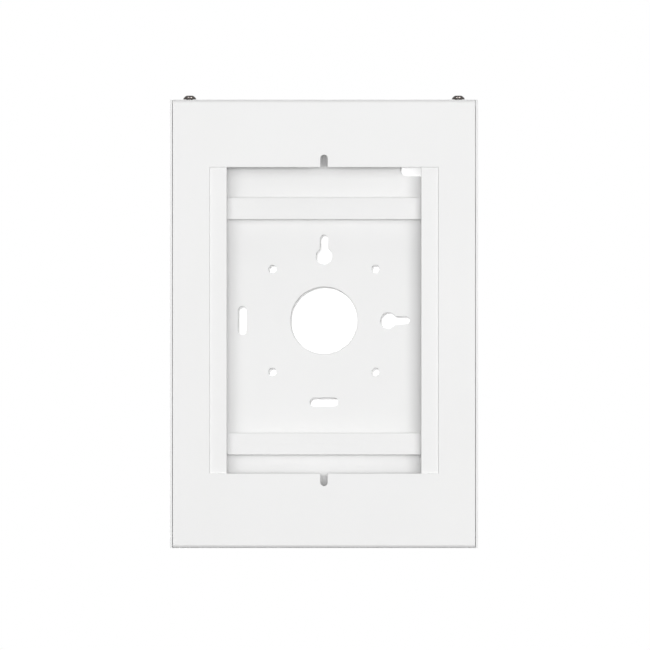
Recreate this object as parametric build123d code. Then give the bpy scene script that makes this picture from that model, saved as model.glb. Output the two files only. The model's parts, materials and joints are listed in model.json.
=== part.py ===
"""Lockable sheet-steel wall mount for a tablet, in millimetres.

Origin: centre of the wall pattern, on the rear face of the back plate.
+X is to the viewer's right, +Y points into the wall, +Z is up.
"""

from build123d import *
import os
from math import atan2, cos, hypot, sin

# Sheet
sheet = 1.5
bend_inside = 0.75
bend_outside = bend_inside + sheet
relief = 1.0
edge_break = 0.3
touch = 0.001

# Cover outline and the box's depth
cover_width = 220.0
cover_top = 160.5
cover_bottom = -165.5
box_depth = 26.0
side_gap = 0.4
free_gap = 0.3
flange_top_depth = 16.0
flange_bottom_depth = 14.5

# Window
window_width = 166.2
window_height = 222.6
notch_width = 5.0
notch_length = 9.0

# Wall fixings in the back plate
pattern = 75.0
pattern_hole = 6.0
cable_hole = 49.0
fixing_reach = 59.5
slot_width = 6.5
slot_length = 21.0
keyhole_head = 12.0
keyhole_neck = 6.0
keyhole_drop = 12.7
cutout_left = 55.4
cutout_bottom = 105.0
cutout_side_margin = 14.6
cutout_top_margin = 15.5
cutout_corner = 5.5

# Flanges of the back box
inner_flange_depth = 22.0
bottom_lip_depth = 5.0

# Security screws and their rivet nuts
screw_inset = 12.3
screw_setback = 9.0
screw_diameter = 5.0
screw_length = 12.0
head_diameter = 9.5
head_height = 2.75
head_rim = 0.5
head_flat = 4.4
tip_break = 0.5
socket_across_flats = 3.0
socket_depth = 1.3
socket_pin = 1.0
slot_clearance = 0.35
thread_clearance = 0.05
nut_rim_diameter = 9.5
nut_rim = 0.6
nut_body = 7.0
nut_bulge = 8.8
nut_bulge_height = 3.0
nut_length = 10.0
fit_clearance = 0.03

# Cover pivots
pivot_height = 9.5
pivot_depth = 13.0
pivot_diameter = 4.0
pivot_clearance = 0.05
pivot_head = 7.0
pivot_head_thick = 1.3
ear_radius = 5.0

# Side strips on weld studs
strip_inner = 70.6
strip_margin = 13.0
strip_overlap = 16.7
stud_inset = 5.0
stud_overlap = 8.7
stud_diameter = 4.0
stud_length = 7.0
stud_hole_clearance = 0.15
nut_across_flats = 7.0
nut_height = 3.2

# Crossbars, spot-welded to the back plate
bar_width = 15.5
bar_top_inset = 29.85
bar_bottom_inset = 21.4
bar_margin = 2.4
bar_front = 13.5
foot_length = 18.0

# Foam
pad_thick = 1.5
side_pad_width = 9.0
side_pad_setback = 3.4
side_pad_shortfall = 6.3
end_pad_height = 8.0
end_pad_inner = 8.0
end_pad_setback = 6.6
end_pad_margin = 2.5
block_width = 20.0
block_height = 12.0
block_depth = 10.5
block_setback = 10.6
tablet_overlap = 16.2

# Places worked out from the sizes above
cover_half = cover_width / 2
wall_inner = cover_half + side_gap
wall_outer = wall_inner + sheet
cover_face = -box_depth
cover_back = cover_face + sheet
strip_back = cover_back + sheet
pad_back = strip_back + pad_thick
plate_front = -sheet
screw_y = cover_face + screw_setback
cover_flange_under = cover_top - sheet
inner_flange_top = cover_flange_under - free_gap - nut_rim
head_under = cover_top + free_gap
pivot_y = -pivot_depth
pivot_z = cover_bottom + pivot_height
ear_inner = cover_half - sheet
window_half = window_height / 2
screw_x = cover_half - screw_inset
cutout_right = cover_half - cutout_side_margin
cutout_top = cover_top - cutout_top_margin
strip_outer = cover_half - strip_margin
strip_half = window_half + strip_overlap
stud_x = strip_outer - stud_inset
stud_z = window_half + stud_overlap
stud_places = [(side * stud_x, end * stud_z) for side in (-1, 1) for end in (-1, 1)]
bar_top_z = window_half - bar_top_inset
bar_bottom_z = bar_bottom_inset - window_half
foot_end = wall_inner - bar_margin
leg_face = foot_end - foot_length
tablet_reach = window_half + tablet_overlap


def along_x(profile, low, high):
    """Extrude a profile drawn in (Y, Z) from one X to another."""
    return Pos(low, 0, 0) * (Plane.YZ.location * extrude(profile, high - low))


def along_y(profile, low, high):
    """Extrude a profile drawn in (X, Z) from one Y to another."""
    return Pos(0, high, 0) * (Plane.XZ.location * extrude(profile, high - low))


def along_z(profile, low, high):
    """Extrude a profile drawn in (X, Y) from one Z to another."""
    return Pos(0, 0, low) * extrude(profile, high - low)


def block(x, y, z):
    """A plain box between pairs of limits."""
    size = Box(x[1] - x[0], y[1] - y[0], z[1] - z[0])
    return Pos((x[0] + x[1]) / 2, (y[0] + y[1]) / 2, (z[0] + z[1]) / 2) * size


def rod_x(y, z, radius, low, high):
    return along_x(Pos(y, z) * Circle(radius), low, high)


def rod_y(x, z, radius, low, high):
    return along_y(Pos(x, z) * Circle(radius), low, high)


def rod_z(x, y, radius, low, high):
    return along_z(Pos(x, y) * Circle(radius), low, high)


def folded(points, radius=bend_outside):
    """Section of a folded sheet: an open path on its outer face, thickened to its left."""
    path = FilletPolyline(*points, radius=radius)
    return make_face(path.offset_2d(sheet, side=Side.LEFT, closed=True))


def edges_at(shape, axis, place):
    """Edges of a shape, or of a list of them, whose middle lies in one plane across an axis."""
    edges = shape if isinstance(shape, ShapeList) else shape.edges()
    return edges.filter_by_position(axis, place - touch, place + touch)


def between(x, y):
    """A rectangle between pairs of limits."""
    return Pos((x[0] + x[1]) / 2, (y[0] + y[1]) / 2) * Rectangle(x[1] - x[0], y[1] - y[0])


def rounded_bar(x, y, corner):
    """A rectangle with round corners between pairs of limits."""
    return Pos((x[0] + x[1]) / 2, (y[0] + y[1]) / 2) * RectangleRounded(x[1] - x[0], y[1] - y[0], corner)


def both_ways(side, low, high):
    """Limits on the right, or their mirror image on the left, in rising order."""
    return (low, high) if side > 0 else (-high, -low)


def back_box():
    """Back plate and side walls from one fold, with flanges folded from the plate's two ends."""
    walls = [(wall_outer, cover_face), (wall_outer, 0), (-wall_outer, 0), (-wall_outer, cover_face)]
    body = along_z(folded(walls), cover_bottom, cover_top)
    cut_half = cover_half - relief
    flange_half = cut_half - relief
    plate_top = inner_flange_top - bend_outside - relief
    plate_bottom = cover_bottom + bend_outside + relief
    body -= block((-cut_half, cut_half), (plate_front - sheet, sheet), (plate_top, cover_top + sheet))
    body -= block((-cut_half, cut_half), (plate_front - sheet, sheet), (cover_bottom - sheet, plate_bottom))
    top_path = [(0, plate_top - relief), (0, inner_flange_top), (-inner_flange_depth, inner_flange_top)]
    body += along_x(folded(top_path), -flange_half, flange_half)
    lip_path = [(-bottom_lip_depth, cover_bottom), (0, cover_bottom), (0, plate_bottom + relief)]
    body += along_x(folded(lip_path), -flange_half, flange_half)
    body -= plate_openings()
    for side in (-1, 1):
        body -= rod_z(side * screw_x, screw_y, nut_body / 2 + fit_clearance, cover_half, cover_top)
        wall = sorted((side * ear_inner, side * (wall_outer + sheet)))
        body -= rod_x(pivot_y, pivot_z, pivot_diameter / 2 + fit_clearance, *wall)
    return break_cable_rim(body)


def plate_openings():
    """Everything that is punched through the back plate."""
    half = pattern / 2
    holes = [Pos(x, z) * Circle(pattern_hole / 2) for x in (-half, half) for z in (-half, half)]
    holes.append(Circle(cable_hole / 2))
    holes.append(Pos(-fixing_reach, 0) * SlotOverall(slot_length, slot_width, rotation=90))
    holes.append(Pos(0, -fixing_reach) * SlotOverall(slot_length, slot_width))
    holes.append(keyhole())
    holes.append(Rot(0, 0, 90) * keyhole())
    holes.append(rounded_bar((cutout_left, cutout_right), (cutout_bottom, cutout_top), cutout_corner))
    return [along_y(hole, -sheet * 2, sheet) for hole in holes]


def keyhole():
    """Round entry nearer the centre and a neck that ends at the fixing's reach."""
    entry = fixing_reach - keyhole_drop
    neck = Pos((entry + fixing_reach) / 2, 0) * Rectangle(keyhole_drop, keyhole_neck)
    return Pos(entry, 0) * Circle(keyhole_head / 2) + neck + Pos(fixing_reach, 0) * Circle(keyhole_neck / 2)


def break_cable_rim(body):
    """Break the front rim of the cable hole, so that it doesn't cut a cable."""
    circles = edges_at(body, Axis.Y, plate_front).filter_by(GeomType.CIRCLE)
    return chamfer(circles.sort_by(SortBy.RADIUS)[-1], edge_break)


def front_cover():
    """Face, top flange and bottom flange from one fold, with two ears turned up from the bottom flange."""
    top_rear = cover_face + flange_top_depth
    bottom_rear = cover_face + flange_bottom_depth
    path = [
        (top_rear, cover_top),
        (cover_face, cover_top),
        (cover_face, cover_bottom),
        (bottom_rear, cover_bottom),
    ]
    body = along_x(folded(path), -cover_half, cover_half)
    window = Rectangle(window_width, window_height)
    notches = SlotOverall(window_height + 2 * notch_length, notch_width, rotation=90)
    body -= along_y(window + notches, cover_face - sheet, cover_back + sheet)
    reach_x = window_width / 2 + sheet
    reach_z = window_height / 2 + notch_length + sheet
    rims = edges_at(body, Axis.Y, cover_face)
    rims = rims.filter_by_position(Axis.X, -reach_x, reach_x).filter_by_position(Axis.Z, -reach_z, reach_z)
    body = chamfer(rims, edge_break)
    slot_radius = screw_diameter / 2 + slot_clearance
    slot_run = top_rear - screw_y
    for side in (-1, 1):
        slot = Pos(side * screw_x, screw_y + slot_run) * SlotOverall(
            2 * (slot_run + slot_radius), 2 * slot_radius, rotation=90
        )
        body -= along_z(slot, cover_flange_under - sheet, cover_top + sheet)
        body = add_ear(body, side)
    return body


def add_ear(body, side):
    """An ear folded up from the end of the bottom flange, with a round lug on the pivot's axis."""
    front = pivot_y - ear_radius
    rear = cover_face + flange_bottom_depth
    flange_end = cover_half - bend_outside
    outside = cover_half + sheet
    body -= block(
        sorted((side * flange_end, side * outside)),
        (front - relief, rear + sheet),
        (cover_bottom - sheet, cover_bottom + bend_outside),
    )
    path = [(flange_end - bend_outside, cover_bottom), (cover_half, cover_bottom), (cover_half, pivot_z)]
    ear = along_y(folded(path), front, rear)
    ear += rod_x(pivot_y, pivot_z, ear_radius, ear_inner, cover_half)
    ear -= rod_x(pivot_y, pivot_z, pivot_diameter / 2 + pivot_clearance, 0, outside)
    if side < 0:
        ear = mirror(ear, Plane.YZ)
    return body + ear


def side_strip(side):
    """Flat bar that narrows the window, with two holes for its weld studs."""
    outline = rounded_bar(both_ways(side, strip_inner, strip_outer), (-strip_half, strip_half), bend_inside)
    strip = along_y(outline, cover_back, strip_back)
    hole = stud_diameter / 2 + stud_hole_clearance
    for end in (-1, 1):
        strip -= rod_y(side * stud_x, end * stud_z, hole, cover_back - sheet, strip_back + sheet)
    edge = edges_at(strip.edges().filter_by(Axis.Z), Axis.X, side * strip_inner).sort_by(Axis.Y)[0]
    return chamfer(edge, edge_break)


def crossbar(z):
    """Bar cranked forward at both ends, so that its middle stands off the back plate."""
    foot_y = plate_front - sheet / 2
    face_y = -bar_front + sheet / 2
    leg = leg_face - sheet / 2
    right = [(leg, face_y), (leg, foot_y), (foot_end, foot_y)]
    left = [(-x, y) for x, y in reversed(right)]
    middle = FilletPolyline(*left, *right, radius=bend_inside + sheet / 2)
    section = make_face(middle.offset_2d(sheet / 2, side=Side.BOTH, closed=True, kind=Kind.INTERSECTION))
    return along_z(section, z - bar_width / 2, z + bar_width / 2)


def button_head():
    """Head on the XY plane: a short upright rim, a ball-shaped shoulder and a flat crown.

    The ball's centre lies on the axis, at the height that is as far from the rim as from the crown.
    """
    radius = head_diameter / 2
    crown = head_flat / 2
    rise = head_height - head_rim
    centre = (head_height + head_rim - (radius**2 - crown**2) / rise) / 2
    ball = hypot(crown, head_height - centre)
    half_way = (atan2(radius, head_rim - centre) + atan2(crown, head_height - centre)) / 2
    middle = (ball * sin(half_way), centre + ball * cos(half_way))
    outline = Polyline((crown, head_height), (0, head_height), (0, 0), (radius, 0), (radius, head_rim))
    outline += ThreePointArc((radius, head_rim), middle, (crown, head_height))
    return revolve(Plane.XZ * make_face(outline), Axis.Z)


def security_screw(side):
    """Button-head screw with a hexagon socket round a centre pin."""
    screw = button_head()
    socket = RegularPolygon(socket_across_flats / 2, 6, major_radius=False) - Circle(socket_pin / 2)
    screw -= along_z(socket, head_height - socket_depth, head_height + sheet)
    shank = rod_z(0, 0, screw_diameter / 2, -screw_length, 0)
    tip = shank.edges().filter_by(GeomType.CIRCLE).sort_by(Axis.Z)[0]
    screw += chamfer(tip, tip_break)
    return Pos(side * screw_x, screw_y, head_under) * screw


def rivet_nut(side):
    """Threaded rivet in the inner flange: rim above, body through, crushed bulge below."""
    flange_under = inner_flange_top - sheet
    x = side * screw_x
    nut = rod_z(x, screw_y, nut_rim_diameter / 2, inner_flange_top, inner_flange_top + nut_rim)
    nut += rod_z(x, screw_y, nut_body / 2, inner_flange_top - nut_length, inner_flange_top)
    nut += rod_z(x, screw_y, nut_bulge / 2, flange_under - nut_bulge_height, flange_under)
    bore = screw_diameter / 2 + thread_clearance
    return nut - rod_z(x, screw_y, bore, inner_flange_top - 2 * nut_length, cover_top)


def pivot_rivet(side):
    """Headed pin from inside the ear, set flush with the side wall's outer face."""
    head_end = ear_inner - free_gap
    pin = rod_x(pivot_y, pivot_z, pivot_diameter / 2, head_end, wall_outer)
    pin += rod_x(pivot_y, pivot_z, pivot_head / 2, head_end - pivot_head_thick, head_end)
    return pin if side > 0 else mirror(pin, Plane.YZ)


def strip_studs():
    studs = [rod_y(x, z, stud_diameter / 2, cover_back, cover_back + stud_length) for x, z in stud_places]
    return Compound(studs)


def strip_nuts():
    nuts = []
    for x, z in stud_places:
        hexagon = Pos(x, z) * RegularPolygon(nut_across_flats / 2, 6, major_radius=False)
        nut = along_y(hexagon, strip_back, strip_back + nut_height)
        nuts.append(nut - rod_y(x, z, stud_diameter / 2 + fit_clearance, cover_back, 0))
    return Compound(nuts)


def side_pad(side):
    """Foam on the back of a side strip, along the tablet's long edge."""
    inner = strip_inner + side_pad_setback
    x = both_ways(side, inner, inner + side_pad_width)
    reach = window_half - side_pad_shortfall
    return along_y(between(x, (-reach, reach)), strip_back, pad_back)


def end_pad(side, end):
    """Foam behind the face, above or below the window and clear of the notch."""
    x = both_ways(side, end_pad_inner, strip_inner - end_pad_setback)
    inner = window_half + end_pad_margin
    return along_y(between(x, both_ways(end, inner, inner + end_pad_height)), cover_back, pad_back)


def rest_block(side):
    """Foam block on the cover's back, under the tablet's lower edge."""
    outer = strip_inner - block_setback
    x = both_ways(side, outer - block_width, outer)
    return block(x, (cover_back, cover_back + block_depth), (-tablet_reach - block_height, -tablet_reach))


nodes = {
    "back_box": back_box(),
    "front_cover": front_cover(),
    "crossbar_top": crossbar(bar_top_z),
    "crossbar_bottom": crossbar(bar_bottom_z),
    "strip_studs": strip_studs(),
    "strip_nuts": strip_nuts(),
}
for name, side in (("left", -1), ("right", 1)):
    nodes[f"side_strip_{name}"] = side_strip(side)
    nodes[f"security_screw_{name}"] = security_screw(side)
    nodes[f"rivet_nut_{name}"] = rivet_nut(side)
    nodes[f"pivot_rivet_{name}"] = pivot_rivet(side)
    nodes[f"foam_pad_{name}"] = side_pad(side)
    nodes[f"foam_pad_top_{name}"] = end_pad(side, 1)
    nodes[f"foam_pad_bottom_{name}"] = end_pad(side, -1)
    nodes[f"rest_block_{name}"] = rest_block(side)

os.makedirs("parts", exist_ok=True)
for name, shape in nodes.items():
    shape.label = name
    export_step(shape, f"parts/{name}.step")
    print(name, len(shape.solids()), round(shape.volume))
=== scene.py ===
# %% [markdown]
# # A tablet wall mount, dressed and lit
#
# The object is a white sheet-steel box that holds a tablet on a wall. A folded back box carries a
# folded front cover with a window. Two flat strips narrow the window, two cranked bars stand behind
# it, and two dark screws lock the cover along its top edge. The solids arrive ready made, so this
# lesson adds what a solid can't hold: finishes, cut threads, soft foam, light and a camera.

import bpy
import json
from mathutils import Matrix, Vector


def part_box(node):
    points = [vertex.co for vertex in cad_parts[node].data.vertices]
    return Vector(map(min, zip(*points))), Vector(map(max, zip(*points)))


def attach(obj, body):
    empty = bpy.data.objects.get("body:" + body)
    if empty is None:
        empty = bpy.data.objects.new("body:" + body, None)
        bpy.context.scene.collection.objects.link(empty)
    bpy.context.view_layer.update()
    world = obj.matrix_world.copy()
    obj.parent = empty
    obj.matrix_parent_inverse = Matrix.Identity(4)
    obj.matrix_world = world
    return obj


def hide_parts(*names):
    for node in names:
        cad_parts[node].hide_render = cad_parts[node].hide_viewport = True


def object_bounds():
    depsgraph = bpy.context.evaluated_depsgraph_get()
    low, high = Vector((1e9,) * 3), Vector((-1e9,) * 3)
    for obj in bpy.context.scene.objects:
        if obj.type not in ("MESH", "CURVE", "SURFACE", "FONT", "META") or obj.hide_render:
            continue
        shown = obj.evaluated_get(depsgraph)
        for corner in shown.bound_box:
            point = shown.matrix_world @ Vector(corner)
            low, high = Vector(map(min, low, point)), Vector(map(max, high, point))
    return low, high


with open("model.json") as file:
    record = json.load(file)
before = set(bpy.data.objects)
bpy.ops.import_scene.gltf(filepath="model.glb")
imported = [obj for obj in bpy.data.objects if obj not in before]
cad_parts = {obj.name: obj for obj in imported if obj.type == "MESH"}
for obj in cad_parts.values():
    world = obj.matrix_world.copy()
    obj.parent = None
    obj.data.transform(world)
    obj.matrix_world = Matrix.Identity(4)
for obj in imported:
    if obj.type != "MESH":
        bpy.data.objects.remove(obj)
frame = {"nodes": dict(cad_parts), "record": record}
cad_box = [list(corner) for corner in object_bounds()]

import json
import math

import bmesh
import bpy
import numpy as np
from mathutils import Vector

MM = 0.001
nodes = frame["nodes"]
bodies = frame["record"]["behaviour"]["bodies"]
body_of_node = {node: body for body, members in bodies.items() for node in members}
print("box of the solids in mm:", [[round(v / MM, 2) for v in corner] for corner in cad_box])

# %% [markdown]
# ## The view
#
# The photograph is taken square on, and nothing in it converges, so a long lens far away stands for
# it. The lens follows from the distance to the middle of the box's depth and from how wide a stretch
# the picture takes in there: 650 pixels of 0.728 mm each. A shorter lens would show the inner walls
# of the box, which the photograph hides.

# %% Camera
def in_scene(name, data):
    """A new object at the origin, linked to the scene."""
    made = bpy.data.objects.new(name, data)
    bpy.context.scene.collection.objects.link(made)
    return made


PIXELS = 650
MM_PER_PIXEL = 0.728
CENTRE_PIXEL = (324.0, 320.4)
CAMERA_DISTANCE = 10.0
SENSOR = 36.0

view_width = PIXELS * MM_PER_PIXEL * MM
middle_depth = cad_box[0][1] / 2
camera_data = bpy.data.cameras.new("camera")
camera_data.sensor_width = SENSOR
camera_data.lens = SENSOR * CAMERA_DISTANCE / view_width
camera_data.clip_end = 4 * CAMERA_DISTANCE
camera = in_scene("camera", camera_data)
bpy.context.scene.camera = camera
camera.location = (
    (PIXELS / 2 - CENTRE_PIXEL[0]) * MM_PER_PIXEL * MM,
    middle_depth - CAMERA_DISTANCE,
    (CENTRE_PIXEL[1] - PIXELS / 2) * MM_PER_PIXEL * MM,
)
camera.rotation_euler = (math.radians(90), 0, 0)
print("lens in mm:", round(camera_data.lens, 1))

# %% [markdown]
# ## Small helpers for shader nodes
#
# Every finish below is a short graph of nodes. A few helpers keep the graphs readable: one adds a
# node and sets its values, one wires an output to an input, and the others start and end a material.

# %% Node helpers
def add(tree, kind, **values):
    """Add a node. A value named like an input socket sets it, and any other sets a property."""
    node = tree.nodes.new(kind)
    for key, value in values.items():
        title = key.replace("_", " ").title()
        if title in node.inputs:
            node.inputs[title].default_value = value
        else:
            setattr(node, key, value)
    return node


def wire(tree, source, target):
    """Lead one output socket to one input socket."""
    tree.links.new(source, target)


def new_material(name):
    """An empty material with its output and one Principled shader."""
    material = bpy.data.materials.new(name)
    material.use_nodes = True
    tree = material.node_tree
    tree.nodes.clear()
    shader = tree.nodes.new("ShaderNodeBsdfPrincipled")
    output = tree.nodes.new("ShaderNodeOutputMaterial")
    wire(tree, shader.outputs["BSDF"], output.inputs["Surface"])
    return material, tree, shader


def mixed(tree, share, first, second):
    """A mix of two shaders: the share picks the second one."""
    mix = add(tree, "ShaderNodeMixShader")
    wire(tree, share, mix.inputs[0])
    wire(tree, first.outputs[0], mix.inputs[1])
    wire(tree, second.outputs[0], mix.inputs[2])
    return mix


def clear_from_behind(tree, front):
    """Send a shader to the material's output, and leave the back of each face clear."""
    side_seen = add(tree, "ShaderNodeNewGeometry")
    clear = add(tree, "ShaderNodeBsdfTransparent")
    output = next(node for node in tree.nodes if node.type == "OUTPUT_MATERIAL")
    both = mixed(tree, side_seen.outputs["Backfacing"], front, clear)
    wire(tree, both.outputs[0], output.inputs["Surface"])


view_settings = bpy.context.scene.view_settings
view_settings.view_transform = "Standard"
print("view transform:", view_settings.view_transform)

# %% [markdown]
# ## Background and floor
#
# Catalogue photographs like this one are shot on a white sweep that is lit until it is plain white.
# Here the world is white wherever the camera, a reflection or a clear surface looks at it, and only a
# weak grey light for the object. The floor is a pale disc under the object. It keeps the soft shadow
# near the middle and turns into the same plain white further out, so that no horizon shows. From
# beneath it is clear, so that the underside of the box can be looked at too.

# %% World
AMBIENT = 0.12
WHITE = (1, 1, 1, 1)

world = bpy.data.worlds.new("white_sweep")
bpy.context.scene.world = world
world.use_nodes = True
tree = world.node_tree
tree.nodes.clear()
path = add(tree, "ShaderNodeLightPath")
camera_or_gloss = add(tree, "ShaderNodeMath", operation="MAXIMUM")
seen = add(tree, "ShaderNodeMath", operation="MAXIMUM")
strength = add(tree, "ShaderNodeMapRange", to_min=AMBIENT, to_max=1.0)
background = add(tree, "ShaderNodeBackground", color=WHITE)
world_output = add(tree, "ShaderNodeOutputWorld")
wire(tree, path.outputs["Is Camera Ray"], camera_or_gloss.inputs[0])
wire(tree, path.outputs["Is Glossy Ray"], camera_or_gloss.inputs[1])
wire(tree, camera_or_gloss.outputs[0], seen.inputs[0])
wire(tree, path.outputs["Is Transmission Ray"], seen.inputs[1])
wire(tree, seen.outputs[0], strength.inputs["Value"])
wire(tree, strength.outputs[0], background.inputs["Strength"])
wire(tree, background.outputs[0], world_output.inputs["Surface"])
print("light from the sweep:", AMBIENT)

# %% Floor
FLOOR_DROP = 0.12
FLOOR_RADIUS = 8.0
FLOOR_GREY, FLOOR_ROUGHNESS = 0.80, 0.9
SHADOW_INNER, SHADOW_OUTER = 0.30, 0.60
RING_SHARES = (0.05, 0.2, 1.0)
RING_STEPS = 96


def mesh_object(name, points, faces):
    """An object from an array of points in metres and a list or array of faces."""
    mesh = bpy.data.meshes.new(name)
    mesh.from_pydata(points.tolist(), [], faces if isinstance(faces, list) else faces.tolist())
    return in_scene(name, mesh)


def disc(name, radius, height):
    """Flat disc: x = r cos t, y = r sin t on rings r and turns t, closed by a point in the middle."""
    turns = np.linspace(0, 2 * np.pi, RING_STEPS, endpoint=False)
    circle = np.stack([np.cos(turns), np.sin(turns), np.zeros(RING_STEPS)], 1)
    points = np.concatenate([np.zeros((1, 3))] + [circle * radius * share for share in RING_SHARES])
    points[:, 2] = height
    around = np.arange(RING_STEPS)
    after = (around + 1) % RING_STEPS
    faces = np.stack([np.zeros(RING_STEPS, int), 1 + around, 1 + after], 1).tolist()
    for ring in range(len(RING_SHARES) - 1):
        low, high = 1 + ring * RING_STEPS, 1 + (ring + 1) * RING_STEPS
        faces += np.stack([low + around, high + around, high + after, low + after], 1).tolist()
    return mesh_object(name, points, faces)


def floor_material():
    """Matt grey near the middle, fading to plain white where the camera or a reflection looks."""
    material, tree, shader = new_material("floor_sweep")
    shader.inputs["Base Color"].default_value = (FLOOR_GREY, FLOOR_GREY, FLOOR_GREY, 1)
    shader.inputs["Roughness"].default_value = FLOOR_ROUGHNESS
    place = add(tree, "ShaderNodeTexCoord")
    flat = add(tree, "ShaderNodeVectorMath", operation="MULTIPLY")
    flat.inputs[1].default_value = (1, 1, 0)
    distance = add(tree, "ShaderNodeVectorMath", operation="LENGTH")
    fade = add(
        tree, "ShaderNodeMapRange",
        interpolation_type="SMOOTHSTEP", from_min=SHADOW_INNER, from_max=SHADOW_OUTER,
    )
    path = add(tree, "ShaderNodeLightPath")
    camera_or_gloss = add(tree, "ShaderNodeMath", operation="MAXIMUM")
    share = add(tree, "ShaderNodeMath", operation="MULTIPLY")
    white = add(tree, "ShaderNodeEmission", color=WHITE)
    wire(tree, place.outputs["Object"], flat.inputs[0])
    wire(tree, flat.outputs[0], distance.inputs[0])
    wire(tree, distance.outputs["Value"], fade.inputs["Value"])
    wire(tree, path.outputs["Is Camera Ray"], camera_or_gloss.inputs[0])
    wire(tree, path.outputs["Is Glossy Ray"], camera_or_gloss.inputs[1])
    wire(tree, fade.outputs[0], share.inputs[0])
    wire(tree, camera_or_gloss.outputs[0], share.inputs[1])
    clear_from_behind(tree, mixed(tree, share.outputs[0], shader, white))
    return material


floor = disc("floor", FLOOR_RADIUS, cad_box[0][2] - FLOOR_DROP)
floor.data.materials.append(floor_material())
floor.visible_diffuse = False
floor.visible_shadow = False
print("floor height in mm:", round(floor.data.vertices[0].co.z / MM, 1))

# %% [markdown]
# ## A sheet behind the holes
#
# In the photograph each hole of the back plate shows a dark crescent along its upper left rim. That
# is the rim's own shadow on a white sheet right behind the plate. A white sheet stands there here as
# well, a little smaller than the plate. Seen from behind it is clear, and no light ray meets it, so
# it never hides or shades the plate.

# %% Backing sheet
SHEET_GAP = 0.0004
SHEET_MARGIN = 0.004
SHEET_GREY = 0.50


def backing_sheet():
    """Flat grid behind the back plate, inside its outline: x and z run evenly between its edges."""
    low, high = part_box("back_box")
    x = np.linspace(low[0] + SHEET_MARGIN, high[0] - SHEET_MARGIN, 3)
    z = np.linspace(low[2] + SHEET_MARGIN, high[2] - SHEET_MARGIN, 3)
    grid_x, grid_z = np.meshgrid(x, z)
    points = np.stack([grid_x, np.full_like(grid_x, high[1] + SHEET_GAP), grid_z], 2).reshape(-1, 3)
    corner = np.array([0, 1, 3, 4])[:, None]
    faces = np.concatenate([corner, corner + 1, corner + 4, corner + 3], 1)
    return mesh_object("backing_sheet", points, faces)


def backing_material():
    """Matt white paper from the front, and clear from behind."""
    material, tree, shader = new_material("backing_paper")
    shader.inputs["Base Color"].default_value = (SHEET_GREY, SHEET_GREY, SHEET_GREY, 1)
    shader.inputs["Roughness"].default_value = 1.0
    shader.inputs["Specular IOR Level"].default_value = 0.0
    clear_from_behind(tree, shader)
    return material


sheet = backing_sheet()
sheet.data.materials.append(backing_material())
for ray in ("shadow", "diffuse", "glossy", "transmission"):
    setattr(sheet, f"visible_{ray}", False)
print("sheet stands at mm:", round(sheet.data.vertices[0].co.y / MM, 2))

# %% [markdown]
# ## Light
#
# The shadows inside the window tell where the lamps stood. Beside each strip the shade is wide and
# faint, below the top edge it is deeper, and above the bottom edge there is almost none. So a row of
# three softboxes stands level with the mount, behind the camera, the right one stronger than the
# left one, and a wide one hangs above them. They stand far off, so that the whole face is lit alike,
# and the angle that each spans sets how soft its shadow edge is. A lamp overhead brightens the top
# bend, and lamps beside and behind the box show its other faces without reaching the front. Those are
# kept out of reflections, as a polarising filter does, because a lamp mirrored in a pale satin face
# burns it out to white.
#
# Two more lamps light one thing each. One, up on the left, lights the sheet behind the holes, past
# the back box alone, and draws the dark crescents. The other keeps the floor pale under the object.

# %% Lamps
LAMP_DISTANCE = 7.0


def softbox(name, azimuth, elevation, wide, high, level):
    """Area lamp on a sphere round the window, spanning two angles in degrees.

    The level is the share of full light that the lamp gives a surface turned to it.
    """
    a, e = math.radians(azimuth), math.radians(elevation)
    toward = Vector((math.sin(a) * math.cos(e), -math.cos(a) * math.cos(e), math.sin(e)))
    lamp = bpy.data.lights.new(name, "AREA")
    lamp.shape = "RECTANGLE"
    lamp.size = 2 * LAMP_DISTANCE * math.tan(math.radians(wide / 2))
    lamp.size_y = 2 * LAMP_DISTANCE * math.tan(math.radians(high / 2))
    lamp.energy = level * math.pi**2 * LAMP_DISTANCE**2
    made = in_scene(name, lamp)
    made.location = toward * LAMP_DISTANCE
    made.rotation_euler = toward.to_track_quat("Z", "Y").to_euler()
    return made


softbox("softbox_front", 0, 0, 11, 12, 0.178)
softbox("softbox_left", -16.5, 1, 22, 9, 0.127)
softbox("softbox_right", 16.5, 1, 22, 9, 0.209)
softbox("softbox_top", 0, 11, 50, 16, 0.225)
softbox("softbox_over", 10, 75, 30, 30, 0.14)
fills = [
    softbox("softbox_back_left", -150, 25, 50, 50, 0.29),
    softbox("softbox_back_right", 155, 25, 50, 50, 0.33),
    softbox("softbox_side_left", -110, 12, 38, 38, 0.44),
    softbox("softbox_side_right", 110, 12, 38, 38, 0.50),
]
for fill in fills:
    fill.visible_glossy = False


def light_only(lamp, receivers, blocker=None):
    """Let a lamp light a few objects alone, and if a blocker is named, let only that shade them."""
    linking = lamp.light_linking
    linking.receiver_collection = bpy.data.collections.new(f"{lamp.name}_lights")
    for receiver in receivers:
        linking.receiver_collection.objects.link(receiver)
    if blocker:
        linking.blocker_collection = bpy.data.collections.new(f"{lamp.name}_shades")
        linking.blocker_collection.objects.link(blocker)


light_only(softbox("softbox_holes", -34, 31, 12, 12, 1.60), [sheet], nodes["back_box"])
light_only(softbox("softbox_floor", -20, 64, 10, 10, 0.90), [floor])
print("lamps:", len(bpy.data.lights))

# %% [markdown]
# ## Powder coat
#
# The sheet parts are sprayed with white powder and baked. The film melts into a satin skin that is
# almost even, but under a lamp it has a faint ripple a few millimetres wide, called orange peel, and
# a much finer grain. Screws and rivets share such ripples at other sizes, so the effect is a node
# group with its own inputs, which puts out a tint, a roughness and a height and leaves the shader to
# each material.

# %% Surface film, a node group
CLOUD_TIMES, PEEL_TIMES, GRAIN_TIMES = 0.04, 1.0, 9.0
NOISE_LOW, NOISE_HIGH = 0.3, 0.7


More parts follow.
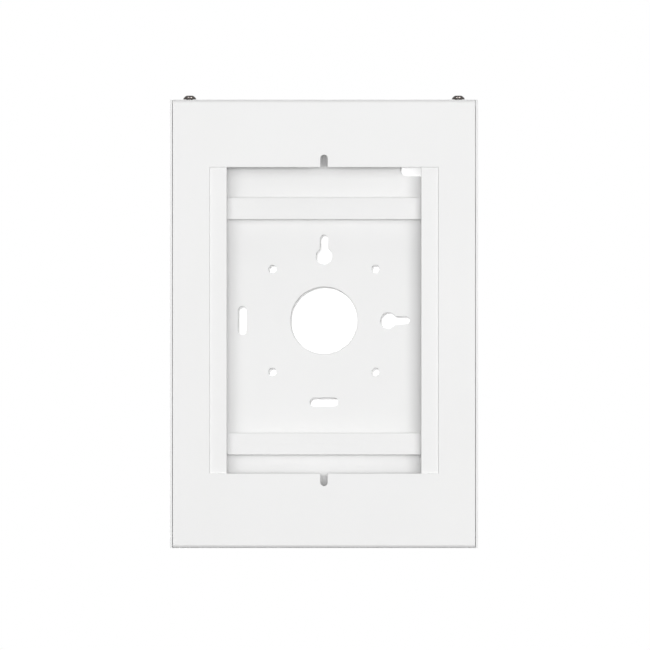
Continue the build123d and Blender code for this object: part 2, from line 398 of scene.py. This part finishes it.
def film_group():
    """Tint, roughness and height of a sprayed or rolled skin, from three noises of its size."""
    group = bpy.data.node_groups.new("surface_film", "ShaderNodeTree")
    face = group.interface
    defaults = {
        "Size": 0.003,
        "Tint Low": 0.97,
        "Tint High": 1.0,
        "Rough Low": 0.34,
        "Rough High": 0.42,
        "Grain": 0.35,
    }
    for name, value in defaults.items():
        socket = face.new_socket(name=name, in_out="INPUT", socket_type="NodeSocketFloat")
        socket.default_value = value
    for name in ("Tint", "Roughness", "Height"):
        face.new_socket(name=name, in_out="OUTPUT", socket_type="NodeSocketFloat")
    inside = group.nodes.new("NodeGroupInput")
    outside = group.nodes.new("NodeGroupOutput")
    place = add(group, "ShaderNodeTexCoord")
    per_metre = add(group, "ShaderNodeMath", operation="DIVIDE")
    per_metre.inputs[0].default_value = 1.0
    wire(group, inside.outputs["Size"], per_metre.inputs[1])

    def noise(times, detail):
        """Noise that repeats a number of times over the film's size."""
        scale = add(group, "ShaderNodeMath", operation="MULTIPLY")
        scale.inputs[1].default_value = times
        wire(group, per_metre.outputs[0], scale.inputs[0])
        made = add(group, "ShaderNodeTexNoise", detail=detail, roughness=0.5)
        wire(group, place.outputs["Object"], made.inputs["Vector"])
        wire(group, scale.outputs[0], made.inputs["Scale"])
        return made

    clouds, peel, grain = noise(CLOUD_TIMES, 2.0), noise(PEEL_TIMES, 2.0), noise(GRAIN_TIMES, 1.0)
    for source, low, high, out in (
        (clouds, "Tint Low", "Tint High", "Tint"),
        (grain, "Rough Low", "Rough High", "Roughness"),
    ):
        spread = add(group, "ShaderNodeMapRange", from_min=NOISE_LOW, from_max=NOISE_HIGH)
        wire(group, source.outputs["Fac"], spread.inputs["Value"])
        wire(group, inside.outputs[low], spread.inputs["To Min"])
        wire(group, inside.outputs[high], spread.inputs["To Max"])
        wire(group, spread.outputs[0], outside.inputs[out])
    fine = add(group, "ShaderNodeMath", operation="MULTIPLY")
    both = add(group, "ShaderNodeMath", operation="ADD")
    wire(group, grain.outputs["Fac"], fine.inputs[0])
    wire(group, inside.outputs["Grain"], fine.inputs[1])
    wire(group, peel.outputs["Fac"], both.inputs[0])
    wire(group, fine.outputs[0], both.inputs[1])
    wire(group, both.outputs[0], outside.inputs["Height"])
    return group


surface_film = film_group()
print("film inputs:", [item.name for item in surface_film.interface.items_tree if item.in_out == "INPUT"])

# %% Coated and plated metals
SHEET_EDGE = 0.0003
FASTENER_EDGE = 0.00008


def filmed(name, colour, metallic, height, edge, **film):
    """A material whose colour, roughness and bump come from the film group with its own values.

    A Bevel node rounds the shading of the cut edges, as the film does on real sheet.
    """
    material, tree, shader = new_material(name)
    skin = tree.nodes.new("ShaderNodeGroup")
    skin.node_tree = surface_film
    for key, value in film.items():
        skin.inputs[key.replace("_", " ").title()].default_value = value
    shader.inputs["Metallic"].default_value = metallic
    tint = add(tree, "ShaderNodeMix", data_type="RGBA", blend_type="MULTIPLY")
    tint.inputs[0].default_value = 1.0
    tint.inputs[6].default_value = (*colour, 1)
    wire(tree, skin.outputs["Tint"], tint.inputs[7])
    wire(tree, tint.outputs[2], shader.inputs["Base Color"])
    wire(tree, skin.outputs["Roughness"], shader.inputs["Roughness"])
    bump = add(tree, "ShaderNodeBump", distance=height)
    soft_edge = add(tree, "ShaderNodeBevel", samples=4, radius=edge)
    wire(tree, soft_edge.outputs[0], bump.inputs["Normal"])
    wire(tree, skin.outputs["Height"], bump.inputs["Height"])
    wire(tree, bump.outputs[0], shader.inputs["Normal"])
    return material


POWDER_WHITE = (0.865, 0.865, 0.862)
SCREW_STEEL = (0.088, 0.078, 0.074)
ZINC = (0.66, 0.67, 0.69)

powder_coat = filmed(
    "powder_coat", POWDER_WHITE, 0.0, 6e-6, SHEET_EDGE,
    size=0.0028, tint_low=0.985, tint_high=1.0, rough_low=0.33, rough_high=0.43, grain=0.3,
)
screw_steel = filmed(
    "screw_steel", SCREW_STEEL, 1.0, 5e-6, FASTENER_EDGE,
    size=0.0011, tint_low=0.80, tint_high=1.0, rough_low=0.15, rough_high=0.24, grain=0.4,
)
zinc_plate = filmed(
    "zinc_plate", ZINC, 1.0, 6e-6, FASTENER_EDGE,
    size=0.0014, tint_low=0.82, tint_high=1.0, rough_low=0.28, rough_high=0.46, grain=0.4,
)
print("metals:", [m.name for m in (powder_coat, screw_steel, zinc_plate)])

# %% [markdown]
# ## Closed-cell foam
#
# The pads are cut from black foam tape. Cut foam shows its cells as tiny pits with thin walls, dull
# and dark. A Voronoi pattern gives the cells: its distance to the nearest cell edge is high in a
# cell's middle, so turned round it is the height. The walls are also painted a little paler, a
# painted highlight for the light they catch, and the black pits read as painted shade. The last
# lines give every node of the part its finish.

# %% Foam finish
FOAM_BLACK = (0.035, 0.035, 0.037)
# The paler wall colour is a painted highlight for the light the cell walls catch.
FOAM_WALL_PAINTED_HIGHLIGHT = (0.062, 0.062, 0.065)
CELL, PIT_DEPTH = 0.00045, 0.00009
WALL_SHARE = 0.25
PIT_ROUGHNESS, WALL_ROUGHNESS = 0.95, 0.75
FOAM_SHINE = 0.25


def foam_material():
    """Dark cells in painted shade between walls painted paler as a painted highlight: the nearer a cell's
    edge, the higher, the paler and the less dull.
    """
    material, tree, shader = new_material("foam")
    shader.inputs["Specular IOR Level"].default_value = FOAM_SHINE
    place = add(tree, "ShaderNodeTexCoord")
    cells = add(tree, "ShaderNodeTexVoronoi", feature="DISTANCE_TO_EDGE")
    cells.inputs["Scale"].default_value = 1 / CELL
    wire(tree, place.outputs["Object"], cells.inputs["Vector"])
    wall = add(
        tree, "ShaderNodeMapRange",
        interpolation_type="SMOOTHSTEP", from_max=WALL_SHARE, to_min=1.0, to_max=0.0,
    )
    wire(tree, cells.outputs["Distance"], wall.inputs["Value"])
    # Painted light in the colour: the walls are painted paler as a highlight, and the pits are left dark
    # as painted shade.
    colour = add(tree, "ShaderNodeMix", data_type="RGBA")
    colour.inputs[6].default_value = (*FOAM_BLACK, 1)
    colour.inputs[7].default_value = (*FOAM_WALL_PAINTED_HIGHLIGHT, 1)
    wire(tree, wall.outputs[0], colour.inputs[0])
    wire(tree, colour.outputs[2], shader.inputs["Base Color"])
    dull = add(tree, "ShaderNodeMapRange", to_min=PIT_ROUGHNESS, to_max=WALL_ROUGHNESS)
    wire(tree, wall.outputs[0], dull.inputs["Value"])
    wire(tree, dull.outputs[0], shader.inputs["Roughness"])
    bump = add(tree, "ShaderNodeBump", distance=PIT_DEPTH)
    wire(tree, wall.outputs[0], bump.inputs["Height"])
    wire(tree, bump.outputs[0], shader.inputs["Normal"])
    return material


finishes = {
    "powder_coat": powder_coat,
    "screw_steel": screw_steel,
    "zinc_plate": zinc_plate,
    "foam": foam_material(),
}
slot_of_node = {part["node"]: part["material_slot"] for part in frame["record"]["subparts"]}
for name, node in nodes.items():
    node.data.materials.clear()
    node.data.materials.append(finishes[slot_of_node[name]])
print("nodes dressed:", len(nodes))

# %% [markdown]
# ## Surfaces from grids
#
# The new pieces are each one sheet of points laid out on a grid: one parameter runs round the piece
# and the other along its outline. A grid that closes on itself in both directions is a ring, such as
# a nut. A grid whose first and last rows shrink to points is a closed knob, such as a screw.

# %% From a grid to a mesh
MERGE = 2e-7
SHARP_FROM = 40.0


def grid_faces(rows, columns, ring):
    """Quads between neighbouring rows, closed round the columns, and round the rows for a ring."""
    row = np.arange(rows if ring else rows - 1)[:, None]
    column = np.arange(columns)[None, :]
    after_row, after_column = (row + 1) % rows, (column + 1) % columns
    corners = [row * columns + column, row * columns + after_column]
    corners += [after_row * columns + after_column, after_row * columns + column]
    return np.stack([c.reshape(-1) for c in corners], 1)


def closed_object(name, points, faces, merge, sharp_from):
    """A closed mesh, with shared points merged, normals turned outwards and its sharp edges kept."""
    made = mesh_object(name, points, faces)
    work = bmesh.new()
    work.from_mesh(made.data)
    bmesh.ops.remove_doubles(work, verts=work.verts, dist=merge)
    bmesh.ops.recalc_face_normals(work, faces=work.faces)
    for edge in work.edges:
        edge.smooth = edge.calc_face_angle(0.0) < math.radians(sharp_from)
    for face in work.faces:
        face.smooth = True
    work.to_mesh(made.data)
    work.free()
    return made


def grid_object(name, grid, ring=False):
    """A closed object from a grid of points in millimetres."""
    rows, columns, _ = grid.shape
    points = grid.reshape(-1, 3) * MM
    return closed_object(name, points, grid_faces(rows, columns, ring), MERGE, SHARP_FROM)


def seat(made, *replaced):
    """Let a piece stand for CAD nodes: same body, same finish."""
    slot = slot_of_node[replaced[0]]
    made.data.materials.clear()
    made.data.materials.append(finishes[slot])
    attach(made, body_of_node[replaced[0]])
    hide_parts(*replaced)
    return made


def node_box(name):
    """Lowest and highest corner of a node, in millimetres."""
    low, high = (np.array(corner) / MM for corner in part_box(name))
    return low, high


print("quads of a 4 by 6 ring:", len(grid_faces(4, 6, True)))

# %% [markdown]
# ## Outlines and threads
#
# Each turned piece is an outline: pairs of a radius and a height, swept once round the axis. The
# radius may be one number, or one for each turn angle, and that is enough for two things a lathe
# can't do. A hexagon is a radius that grows towards the corners. A thread is a ridge wound round a
# rod: the radius follows a wave whose phase is the height divided by the pitch, less the turn's share
# of a full circle. After one turn the phase has moved by one whole wave, so the grid closes on itself
# and the ridge climbs.

# %% Outlines and threads
TURNS = 96
ROOT_FLAT = 1.35

turn = np.linspace(0, 2 * np.pi, TURNS, endpoint=False)


def arc(centre, radius, start, end, steps):
    """Pairs (r, z) on a circle in the outline's plane, between two angles in degrees."""
    angle = np.radians(np.linspace(start, end, steps))
    return list(np.stack([centre[0] + radius * np.cos(angle), centre[1] + radius * np.sin(angle)], 1))


def hexagon(across_flats):
    """Distance from the middle to a hexagon's side, at each turn angle."""
    sector = np.mod(turn + np.pi / 6, np.pi / 3) - np.pi / 6
    return across_flats / 2 / np.cos(sector)


def groove(height, pitch):
    """Saw-like wave from 0 on the crest to 1 in the root, climbing one pitch in each turn."""
    phase = np.mod(height / pitch - turn / (2 * np.pi), 1.0)
    return 1 - np.clip(ROOT_FLAT - 2 * ROOT_FLAT * np.abs(phase - 0.5), 0.0, 1.0)


def revolved(outline):
    """Grid of points (r cos t, r sin t, z), one row for each pair of the outline."""
    rows = []
    for radius, height in outline:
        row = (radius * np.cos(turn), radius * np.sin(turn), height + 0 * turn)
        rows.append(np.stack(row, 1))
    return np.stack(rows)


print("hexagon 3 mm across flats, corner radius:", round(float(hexagon(3.0).max()), 3))

# %% [markdown]
# ## Two security screws
#
# Each is a button-head machine screw. Its domed head is cold-forged with a hexagon socket round a
# small centre pin, which keeps ordinary keys out, and its shank is rolled to a thread of 0.8 mm
# pitch. One outline makes head and shank, from the pin's top to the tip. The rim leans in a little, as
# forged rims do, and that matters: an upright one would mirror the front lamps as a bright line. Two
# small lamps overhead shine on the screws alone and draw two glints on each dome.

# %% Screws
HEAD_RADIUS, HEAD_HEIGHT, CROWN_RADIUS = 4.75, 2.75, 2.4
RIM_HEIGHT, RIM_LEAN, RIM_CORNER = 0.8, 0.16, 0.12
SOCKET_FLATS, SOCKET_DEPTH, SOCKET_CHAMFER = 3.0, 1.3, 0.10
SOCKET_FLOOR = 0.94
PIN_RADIUS, PIN_BELOW, PIN_CHAMFER = 0.5, 0.35, 0.1
SHANK_RADIUS, SHANK_LENGTH, SHANK_PITCH = 2.5, 12.0, 0.8
SHANK_CUT, TIP_CUT, TIP_DEPTH = 0.55 * SHANK_PITCH, 0.15, 0.9
NECK, PLAIN_NECK, PLAIN_TIP = 0.15, 0.5, 0.6
ROLLED = 0.98
FILLET, SMALL_FILLET = 0.08, 0.05
DOME_ROWS, SHANK_ROWS_PER_PITCH = 18, 14


def screw_grid():
    """Head and shank as rows from the pin's top, over the dome and down the thread to the tip.

    The shoulder is a circle's arc about a centre on the axis, from the leaning rim to the flat crown.
    The socket's wall follows a hexagon. The thread's radius is the shank's less the groove's depth,
    which fades in below the neck and out above the tip.
    """
    meet = HEAD_RADIUS - RIM_LEAN
    rise = HEAD_HEIGHT - RIM_HEIGHT
    centre = (HEAD_HEIGHT + RIM_HEIGHT - (meet**2 - CROWN_RADIUS**2) / rise) / 2
    ball = math.hypot(CROWN_RADIUS, HEAD_HEIGHT - centre)
    socket = hexagon(SOCKET_FLATS)
    socket_floor = HEAD_HEIGHT - SOCKET_DEPTH
    pin_top = HEAD_HEIGHT - PIN_BELOW
    outline = [
        (0.0, pin_top),
        (PIN_RADIUS - PIN_CHAMFER, pin_top),
        (PIN_RADIUS, pin_top - PIN_CHAMFER),
        (PIN_RADIUS, socket_floor),
        (socket * SOCKET_FLOOR, socket_floor),
        (socket, socket_floor + FILLET),
        (socket, HEAD_HEIGHT - SOCKET_CHAMFER),
        (socket + SOCKET_CHAMFER, HEAD_HEIGHT),
        (CROWN_RADIUS - FILLET, HEAD_HEIGHT),
    ]
    for r in np.linspace(CROWN_RADIUS + SMALL_FILLET, meet, DOME_ROWS):
        outline.append((r, centre + math.sqrt(ball**2 - r**2)))
    outline.append((meet + SMALL_FILLET, RIM_HEIGHT - 2 * SMALL_FILLET))
    outline += arc((HEAD_RADIUS - RIM_CORNER, RIM_CORNER), RIM_CORNER, 10, -90, 6)
    outline += [(SHANK_RADIUS + NECK, 0.0), (SHANK_RADIUS * ROLLED, -NECK)]
    end = PLAIN_TIP - SHANK_LENGTH
    count = int(round((-NECK - end) / SHANK_PITCH * SHANK_ROWS_PER_PITCH))
    for z in np.linspace(-PLAIN_NECK, end, count):
        fade = min(1.0, (-PLAIN_NECK - z) / SHANK_PITCH, (z - end) / SHANK_PITCH + TIP_CUT)
        outline.append((SHANK_RADIUS - SHANK_CUT * groove(z, SHANK_PITCH) * fade, z))
    outline += [(SHANK_RADIUS - TIP_DEPTH * SHANK_CUT, -SHANK_LENGTH), (0.0, -SHANK_LENGTH)]
    return revolved(outline)


screws = []
for side in ("left", "right"):
    name = f"security_screw_{side}"
    low, high = node_box(name)
    x, y, _ = (low + high) / 2
    grid = screw_grid() + np.array([x, y, low[2] + SHANK_LENGTH])
    screws.append(seat(grid_object(f"{name}_cut", grid), name))
    print(name, "polygons:", len(screws[-1].data.polygons))

light_only(softbox("softbox_glint_left", -78, 74, 8, 8, 0.22), screws)
light_only(softbox("softbox_glint_right", 78, 74, 8, 8, 0.26), screws)

# %% [markdown]
# ## Nuts and studs
#
# Four studs welded to the cover's back hold the side strips, with a hexagon nut on each. A bought nut
# is chamfered on a lathe, so its corners end in curves: the cone cuts the hexagon where the lesser of
# the two distances changes. Its thread is cut outwards from the bore, so that the stud has room.

# %% Nuts and studs
NUT_FLATS, NUT_HEIGHT = 7.0, 3.2
NUT_CHAMFER, CHAMFER_REACH, FACE_REACH = 0.45, 0.93, 0.97
STUD_RADIUS, STUD_LENGTH, STUD_PITCH = 2.0, 7.0, 0.7
STUD_PLAIN, STUD_TIP, STUD_CUT = 1.6, 0.4, 0.5 * STUD_PITCH
BORE_GAP, BORE_CUT, BORE_ENTRY = 0.05, 0.35, 0.3
ROWS_PER_PITCH = 12


def nut_grid():
    """Ring from the bore's foot, up its thread, over the chamfered top and down the flats.

    A row's outer distance is the lesser of the hexagon's and the chamfer cone's at its height.
    """
    bore = STUD_RADIUS + BORE_GAP
    flats = hexagon(NUT_FLATS)
    corner = NUT_FLATS / math.sqrt(3)
    reach = CHAMFER_REACH * corner

    def wall(below_face):
        """Outer distance at a depth below the nut's nearer face."""
        return np.minimum(flats, reach + below_face * (corner - reach) / NUT_CHAMFER)

    outline = []
    for z in np.linspace(0.0, NUT_HEIGHT, int(round(NUT_HEIGHT / STUD_PITCH * ROWS_PER_PITCH))):
        fade = min(1.0, z / BORE_ENTRY, (NUT_HEIGHT - z) / BORE_ENTRY)
        cut = BORE_CUT * STUD_PITCH * groove(z, STUD_PITCH)
        outline.append((bore + BORE_ENTRY * (1 - fade) + cut * fade, z))
    outline.append((FACE_REACH * reach, NUT_HEIGHT))
    for below in np.linspace(0.0, NUT_CHAMFER, 6)[1:]:
        outline.append((wall(below), NUT_HEIGHT - below))
    outline += [(flats, NUT_HEIGHT - NUT_CHAMFER - SMALL_FILLET), (flats, NUT_CHAMFER + SMALL_FILLET)]
    for above in np.linspace(NUT_CHAMFER, 0.0, 6)[:-1]:
        outline.append((wall(above), above))
    outline.append((FACE_REACH * reach, 0.0))
    return revolved(outline)


def stud_grid():
    """Closed rod: a plain foot, then a thread up to a chamfered end."""
    end = STUD_LENGTH - STUD_TIP
    outline = [(0.0, 0.0), (STUD_RADIUS * ROLLED, 0.0)]
    for z in np.linspace(STUD_PLAIN, end, int(round((end - STUD_PLAIN) / STUD_PITCH * ROWS_PER_PITCH))):
        fade = min(1.0, (z - STUD_PLAIN) / STUD_PITCH)
        outline.append((STUD_RADIUS - STUD_CUT * groove(z, STUD_PITCH) * fade, z))
    outline += [(STUD_RADIUS - STUD_CUT, STUD_LENGTH), (0.0, STUD_LENGTH)]
    return revolved(outline)


def stand_on(grid, axis_point, toward):
    """Turn a grid's own Z to a direction of the part, and move its origin to a point."""
    axes = {
        "+y": np.array([[1, 0, 0], [0, 0, -1], [0, 1, 0]]),
        "+x": np.array([[0, 0, -1], [0, 1, 0], [1, 0, 0]]),
        "-x": np.array([[0, 0, 1], [0, 1, 0], [-1, 0, 0]]),
    }
    return grid @ axes[toward] + np.array(axis_point)


def joined(name, grids, ring=False):
    """Several grids as one object, for a node that is a group of like solids."""
    parts = [grid_object(name, grid, ring) for grid in grids]
    with bpy.context.temp_override(active_object=parts[0], selected_editable_objects=parts):
        bpy.ops.object.join()
    return parts[0]


stud_low, stud_high = node_box("strip_studs")
nut_low, _ = node_box("strip_nuts")
stud_x = stud_high[0] - STUD_RADIUS
stud_z = stud_high[2] - STUD_RADIUS
places = [(side * stud_x, end * stud_z) for side in (-1, 1) for end in (-1, 1)]

stud, nut = stud_grid(), nut_grid()
studs = joined("strip_studs_cut", [stand_on(stud, (x, stud_low[1], z), "+y") for x, z in places])
nuts = joined("strip_nuts_cut", [stand_on(nut, (x, nut_low[1], z), "+y") for x, z in places], True)
seat(studs, "strip_studs")
seat(nuts, "strip_nuts")
print("studs and nuts, polygons:", len(studs.data.polygons), len(nuts.data.polygons))

# %% [markdown]
# ## Rivet nuts
#
# Each screw turns into a rivet nut, a thin threaded sleeve with a flat rim. It is put through a hole
# in the flange and pulled short, and its middle is crushed into a bulge that grips the sheet from
# below. The bulge is half a sine wave on the sleeve's outline.

# %% Rivet nuts
SLEEVE_RIM_RADIUS, SLEEVE_RIM, SLEEVE_ROUND = 4.75, 0.6, 0.25
SLEEVE_RADIUS, SLEEVE_LENGTH, SLEEVE_BORE = 3.5, 10.6, 2.55
BULGE_RADIUS, BULGE_HEIGHT, BULGE_ROWS, BULGE_FULLNESS = 4.4, 3.0, 15, 0.8
FLANGE_SHEET = 1.5
SLEEVE_ENTRY, SLEEVE_LEAD, SLEEVE_MOUTH, SLEEVE_ROWS_PER_PITCH = 0.6, 0.15, 0.2, 10
THREAD_ABOVE_FOOT, THREAD_BELOW_TOP = 0.2, 0.3
SEAM, BULGE_GAP, FOOT_BAND = 0.02, 0.03, 0.3


def rivet_nut_grid():
    """Ring from the thread's foot up the bore, over the rim and down the body and its bulge.

    The bulge's radius swells as a half sine wave between the flange's underside and its own foot.
    """
    top = SLEEVE_RIM
    foot = top - SLEEVE_LENGTH
    outline = []
    low, high = foot + THREAD_ABOVE_FOOT, top - THREAD_BELOW_TOP
    for z in np.linspace(low, high, int(round((high - low) / SHANK_PITCH * SLEEVE_ROWS_PER_PITCH))):
        fade = min(1.0, (z - foot) / SLEEVE_ENTRY, (top - z) / SLEEVE_ENTRY)
        cut = BORE_CUT * SHANK_PITCH * groove(z, SHANK_PITCH)
        outline.append((SLEEVE_BORE + SLEEVE_LEAD * (1 - fade) + cut * fade, z))
    outline += [(SLEEVE_BORE + SLEEVE_MOUTH, top), (SLEEVE_RIM_RADIUS - SLEEVE_ROUND, top)]
    outline += arc((SLEEVE_RIM_RADIUS - SLEEVE_ROUND, top - SLEEVE_ROUND), SLEEVE_ROUND, 75, 0, 5)
    outline += [
        (SLEEVE_RIM_RADIUS, SEAM),
        (SLEEVE_RADIUS, 0.0),
        (SLEEVE_RADIUS, -FLANGE_SHEET - SEAM),
    ]
    for share in np.linspace(0.0, 1.0, BULGE_ROWS):
        swell = (BULGE_RADIUS - SLEEVE_RADIUS) * np.sin(np.pi * share) ** BULGE_FULLNESS
        outline.append((SLEEVE_RADIUS + swell, -FLANGE_SHEET - BULGE_HEIGHT * share - BULGE_GAP))
    outline += [
        (SLEEVE_RADIUS, foot + FOOT_BAND),
        (SLEEVE_RADIUS - SLEEVE_ROUND, foot),
        (SLEEVE_BORE + SLEEVE_LEAD, foot),
    ]
    return revolved(outline)


for side in ("left", "right"):
    name = f"rivet_nut_{side}"
    low, high = node_box(name)
    x, y, _ = (low + high) / 2
    seat_height = high[2] - SLEEVE_RIM
    grid = rivet_nut_grid() + np.array([x, y, seat_height])
    seat(grid_object(f"{name}_cut", grid, True), name)
    print(name, "seat in mm:", round(seat_height, 2))

# %% [markdown]
# ## Pivot rivets
#
# The cover tilts on two headed pins, riveted flush into the box's side walls. A rivet's head is
# pressed by a tool, so its edge is round and its top is slightly domed. The powder is sprayed after
# riveting, so these heads are as white as the sheet.

# %% Pivot rivets
PIVOT_HEAD, PIVOT_THICK, PIVOT_PIN = 3.5, 1.3, 2.0
PIVOT_CROWN, PIVOT_EDGE = 0.15, 0.45 * PIVOT_THICK
CROWN_FROM, CROWN_ROWS = 0.12, 9


def pivot_grid(pin_length):
    """Closed knob with its head above the seat at zero height and its pin below.

    The head's top sags from the crown with the square of the radius, and its edge is a quarter circle.
    """
    flat = PIVOT_HEAD - PIVOT_EDGE
    outline = [(0.0, PIVOT_THICK)]
    for r in np.linspace(CROWN_FROM, 1.0, CROWN_ROWS) * flat:
        outline.append((r, PIVOT_THICK - PIVOT_CROWN * (r / PIVOT_HEAD) ** 2))
    shoulder = PIVOT_THICK - PIVOT_CROWN * (flat / PIVOT_HEAD) ** 2 - PIVOT_EDGE
    outline += arc((flat, shoulder), PIVOT_EDGE, 80, 0, 8)
    outline += [(PIVOT_HEAD, 0.0), (PIVOT_PIN, 0.0), (PIVOT_PIN, -pin_length), (0.0, -pin_length)]
    return revolved(outline)


for side, inward in (("left", "+x"), ("right", "-x")):
    name = f"pivot_rivet_{side}"
    low, high = node_box(name)
    _, y, z = (low + high) / 2
    pivot = pivot_grid(high[0] - low[0] - PIVOT_THICK)
    seat_x = high[0] - PIVOT_THICK if inward == "+x" else low[0] + PIVOT_THICK
    seat(grid_object(f"{name}_pressed", stand_on(pivot, (seat_x, y, z), inward)), name)
print("pivot rivet, rows and turns:", pivot.shape[:2])

# %% [markdown]
# ## Foam pads
#
# The pads are strips of foam tape and two thicker blocks. A knife or a die presses foam down before
# it cuts, so the top edges stay a little round and the faces a little uneven. Each pad is a rounded
# box: a fine grid whose points are pushed onto a shape with round corners, and whose free faces sink
# by a smooth, shallow wave.

# %% Foam pieces
PAD_ROUND, PAD_SPACING, PAD_SINK = 0.35, 3.0, 0.12
PAD_RIM_SHARES = np.array([0.15, 0.4, 0.7, 1.0])
PAD_MERGE = 1e-6
FREE_SHARE = 0.35
WAVE_ACROSS, WAVE_UP, WAVE_FINE, WAVE_SHIFT = 3.1, 4.7, 2.3, 1.0


def rounded_box(low, high):
    """Closed box with round edges: each point is the nearest point of an inner box, plus a radius.

    Each of the six faces is a grid, finer along its rim, and its corners run one way round on the
    high face and the other way on the low one. A point is moved to the inner box, and the remainder,
    made as long as the radius, leads back outwards, which rounds every edge.
    """
    counts = np.maximum(np.ceil((high - low) / PAD_SPACING).astype(int), 4)
    rim = PAD_RIM_SHARES * PAD_ROUND
    ends = []
    for k in range(3):
        even = np.linspace(low[k], high[k], counts[k] + 1)
        ends.append(np.unique(np.round(np.concatenate([even, low[k] + rim, high[k] - rim]), 5)))
    faces, points, base = [], [], 0
    for axis in range(3):
        u, v = (axis + 1) % 3, (axis + 2) % 3
        grid_u, grid_v = np.meshgrid(ends[u], ends[v], indexing="ij")
        for level, way in ((low[axis], -1), (high[axis], 1)):
            face = np.empty(grid_u.shape + (3,))
            face[..., u], face[..., v], face[..., axis] = grid_u, grid_v, level
            index = base + np.arange(grid_u.size).reshape(grid_u.shape)
            base += grid_u.size
            quad = [index[:-1, :-1], index[1:, :-1], index[1:, 1:], index[:-1, 1:]]
            faces.append(np.stack([q.reshape(-1) for q in quad[::way]], 1))
            points.append(face.reshape(-1, 3))
    points = np.concatenate(points)
    core = np.clip(points, low + PAD_ROUND, high - PAD_ROUND)
    away = points - core
    length = np.maximum(np.linalg.norm(away, axis=1, keepdims=True), 1e-9)
    return core + away / length * PAD_ROUND, np.concatenate(faces)


def sink(points, low, high):
    """Shallow wave on the free faces: a point moves inwards by up to the depth, by two slow sines."""
    middle = (low + high) / 2
    across, up = points[:, 0], points[:, 2]
    slow, fine = np.sin(across / WAVE_ACROSS + up / WAVE_UP), np.sin(up / WAVE_FINE - WAVE_SHIFT)
    wave = 0.5 + 0.25 * slow + 0.25 * fine
    inward = np.sign(middle - points) * (np.abs(points - middle) > FREE_SHARE * (high - low))
    return points + inward * (PAD_SINK * wave)[:, None] * np.array([1, 0, 1])


pads = [name for name in nodes if slot_of_node[name] == "foam"]
for name in pads:
    low, high = node_box(name)
    points, faces = rounded_box(low, high)
    points = sink(points, low, high) * MM
    pad = seat(closed_object(f"{name}_cut", points, faces, PAD_MERGE, 180.0), name)
print("foam pieces:", len(pads))
